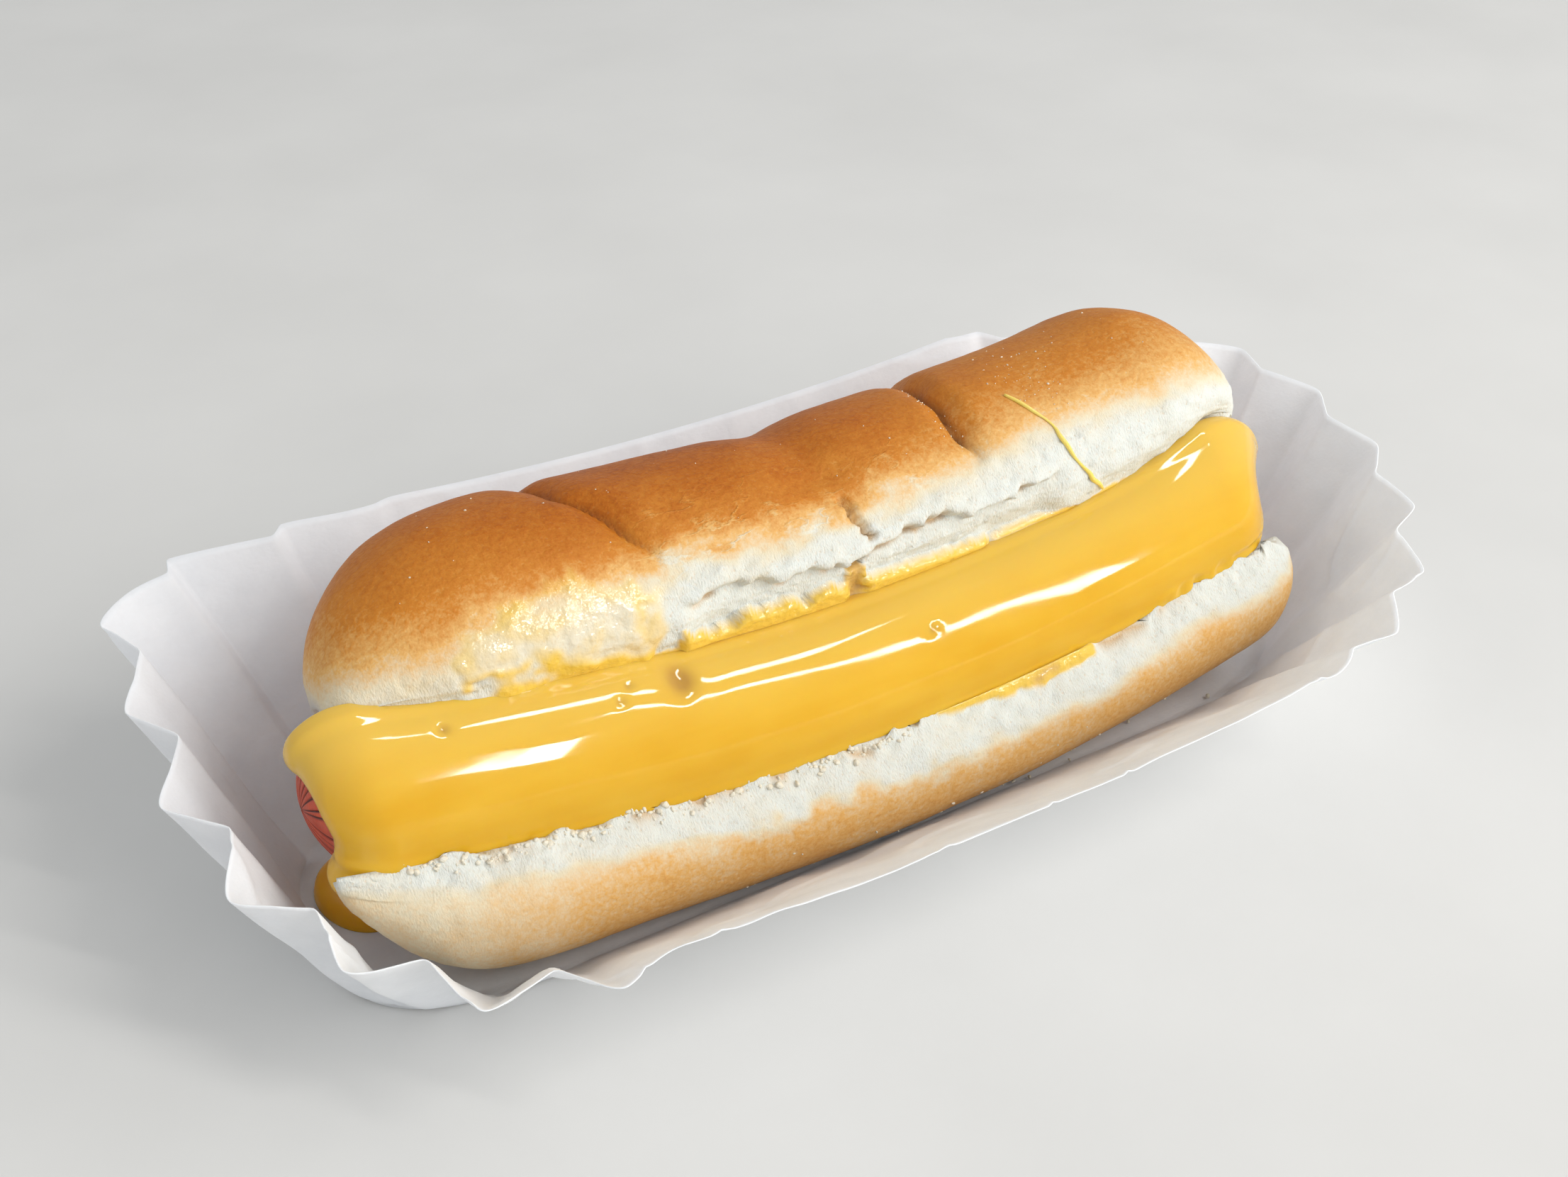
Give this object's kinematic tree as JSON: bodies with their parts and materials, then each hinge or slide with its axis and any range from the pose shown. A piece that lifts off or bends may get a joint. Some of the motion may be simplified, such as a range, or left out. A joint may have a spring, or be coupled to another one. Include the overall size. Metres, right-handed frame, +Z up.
{
  "type": "hot dog",
  "caption": "Side-slit soft roll holding a sausage under a thick coat of melted cheese, lying in a fluted white paper case.",
  "frame": {"origin": "bottom centre of the whole's bounding box, on the surface that the paper case stands on", "axes": "+X along the hot dog, +Y towards the bun's closed back, +Z up"},
  "size_m": [0.1966, 0.0944, 0.0551],
  "materials": {
    "bread": null,
    "sausage_skin": null,
    "cheese": null,
    "paper": "matt uncoated white paper"
  },
  "bodies": {
    "root": {"bun": "bread", "sausage": "sausage_skin", "cheese_sauce": "cheese", "cheese_puddle": "cheese", "paper_case": "paper"}
  },
  "joints": []
}
